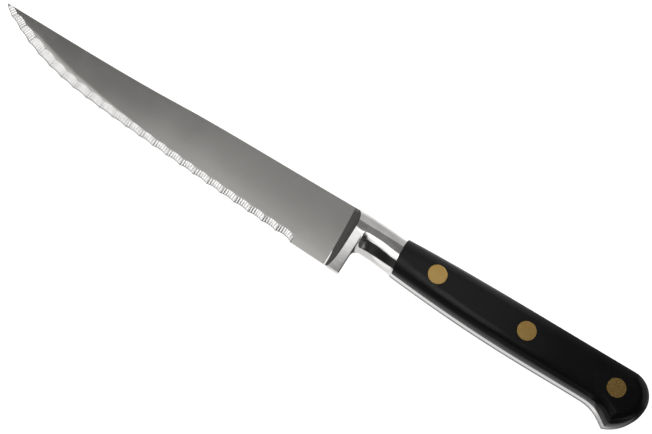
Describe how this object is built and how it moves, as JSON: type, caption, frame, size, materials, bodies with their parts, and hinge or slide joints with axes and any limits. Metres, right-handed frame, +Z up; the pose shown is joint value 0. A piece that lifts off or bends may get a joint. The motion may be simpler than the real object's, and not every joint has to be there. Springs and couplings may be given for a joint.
{
  "type": "steak knife",
  "caption": "Forged full-tang steak knife with a serrated blade, a bolster with a heel, and black scales on brass rivets.",
  "frame": {"origin": "under the centre of the bounding box, in the plane that the knife lies on", "axes": "+X from the tip to the butt, +Y from the cutting edge to the spine, +Z up, out of the left side of the blade"},
  "size_m": [0.2292, 0.0232, 0.011],
  "materials": {
    "steel": "satin blade, polished bolster and tang edge",
    "scale_black": "smooth black moulding with a soft shine",
    "brass": "ground flush and polished"
  },
  "bodies": {
    "root": {"blade_forging": "steel", "left_scale": "scale_black", "right_scale": "scale_black", "front_rivet_tube": "brass", "front_rivet_pin": "brass", "middle_rivet_tube": "brass", "middle_rivet_pin": "brass", "rear_rivet_tube": "brass", "rear_rivet_pin": "brass"}
  },
  "joints": []
}
